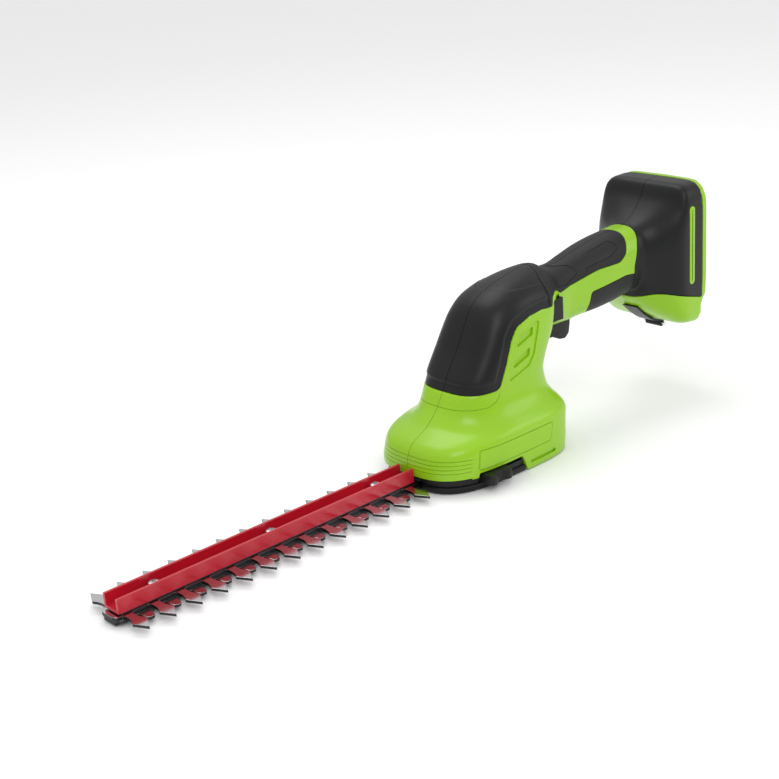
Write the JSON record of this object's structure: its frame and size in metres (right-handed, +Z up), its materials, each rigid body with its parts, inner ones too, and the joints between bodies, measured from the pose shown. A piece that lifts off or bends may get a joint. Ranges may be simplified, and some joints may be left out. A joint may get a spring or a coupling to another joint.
{
  "type": "hedge trimmer",
  "caption": "Cordless hand-held hedge trimmer with a toothed blade, stiffening channel, upright motor head, grip and battery dock.",
  "frame": {"origin": "on the standing surface under the crank gear's axle, in the middle of the flat underside of the blade carrier", "axes": "+X towards the battery dock, blades point along -X; +Y is the left side; +Z up"},
  "size_m": [0.4496, 0.0872, 0.1392],
  "materials": {
    "green_plastic": "satin",
    "black_plastic": "fine satin",
    "soft_grip": "soft matt",
    "red_paint": "gloss paint",
    "blade_steel": "ground and polished",
    "dark_steel": "blackened",
    "zinc_steel": "zinc plated",
    "bright_steel": "polished",
    "magnet": "dull",
    "copper": "varnished windings",
    "brass": "bright",
    "circuit_board": "solder mask"
  },
  "bodies": {
    "housing": {"axle_bush": "brass", "battery_latch_pin": "bright_steel", "blade_carrier": "black_plastic", "blade_channel": "red_paint", "blade_screws": "zinc_steel", "blade_spacers": "zinc_steel", "channel_shim": "dark_steel", "control_board": "circuit_board", "dock_base_left": "green_plastic", "dock_base_right": "green_plastic", "dock_cover_left": "black_plastic", "dock_cover_right": "black_plastic", "dock_rim": "green_plastic", "dock_strip_left": "green_plastic", "dock_strip_right": "green_plastic", "dock_tray": "black_plastic", "housing_left": "green_plastic", "housing_right": "green_plastic", "housing_screws": "zinc_steel", "label_left": "green_plastic", "label_right": "green_plastic", "latch_spring_left": "bright_steel", "latch_spring_right": "bright_steel", "lock_springs": "bright_steel", "lower_grip": "soft_grip", "motor_can": "zinc_steel", "motor_cover_left": "black_plastic", "motor_cover_right": "black_plastic", "motor_end_cap": "black_plastic", "motor_magnets": "magnet", "motor_plate": "zinc_steel", "motor_screws": "zinc_steel", "motor_terminals": "brass", "soft_grip_left": "soft_grip", "soft_grip_right": "soft_grip", "support_bar": "blade_steel", "tang_screws": "zinc_steel", "terminal_block": "black_plastic", "terminals": "brass", "trigger_bracket": "black_plastic", "trigger_pin": "bright_steel", "trigger_spring": "bright_steel", "trigger_switch": "black_plastic", "upper_blade": "blade_steel"},
    "crank": {"crank_gear": "dark_steel", "crank_pin": "bright_steel", "gear_axle": "bright_steel", "axle_clip": "zinc_steel"},
    "rotor": {"motor_rotor": "copper", "pinion": "dark_steel"},
    "moving_blade": {"lower_blade": "blade_steel", "drive_yoke": "dark_steel"},
    "trigger_lever": {"trigger": "black_plastic"},
    "lock_off": {"lock_off_bar": "black_plastic"},
    "right_latch": {"latch_tab_right": "black_plastic"},
    "left_latch": {"latch_tab_left": "black_plastic"},
    "dock_latch": {"battery_latch": "black_plastic"}
  },
  "joints": [
    {"name": "crank_turn", "type": "hinge", "parent": "housing", "child": "crank", "pos_m": [0, 0, 0.019], "axis": [0, 0, 1], "range_deg": [-90, 90]},
    {"name": "motor_turn", "type": "hinge", "parent": "housing", "child": "rotor", "pos_m": [0.0264, 0, 0.05], "axis": [0, 0, 1], "range_deg": [-410, 410]},
    {"name": "blade_slide", "type": "slide", "parent": "housing", "child": "moving_blade", "axis": [1, 0, 0], "range_m": [-0.006, 0.006]},
    {"name": "trigger_pull", "type": "hinge", "parent": "housing", "child": "trigger_lever", "pos_m": [0.066, 0, 0.078], "axis": [0, -1, 0], "range_deg": [0, 8], "stiffness_Nm_per_rad": 0.5, "springref_deg": -8.59, "deforming": ["trigger_spring"]},
    {"name": "lock_off_press", "type": "slide", "parent": "housing", "child": "lock_off", "axis": [0, 1, 0], "range_m": [-0.003, 0.003], "stiffness_N_per_m": 500, "deforming": ["lock_springs"]},
    {"name": "right_latch_press", "type": "slide", "parent": "housing", "child": "right_latch", "axis": [0, 1, 0], "range_m": [0, 0.003], "stiffness_N_per_m": 800, "springref_m": -0.002, "deforming": ["latch_spring_right"]},
    {"name": "left_latch_press", "type": "slide", "parent": "housing", "child": "left_latch", "axis": [0, -1, 0], "range_m": [0, 0.003], "stiffness_N_per_m": 800, "springref_m": -0.002, "deforming": ["latch_spring_left"]},
    {"name": "battery_latch_open", "type": "hinge", "parent": "housing", "child": "dock_latch", "pos_m": [0.183, 0, 0.0404], "axis": [0, -1, 0], "range_deg": [0, 8], "stiffness_Nm_per_rad": 0.4, "springref_deg": -8.59}
  ],
  "couplings": [
    {"joint": "crank_turn", "follows": "blade_slide", "rad_per_m": 261.79},
    {"joint": "motor_turn", "follows": "blade_slide", "rad_per_m": -1178.1}
  ]
}
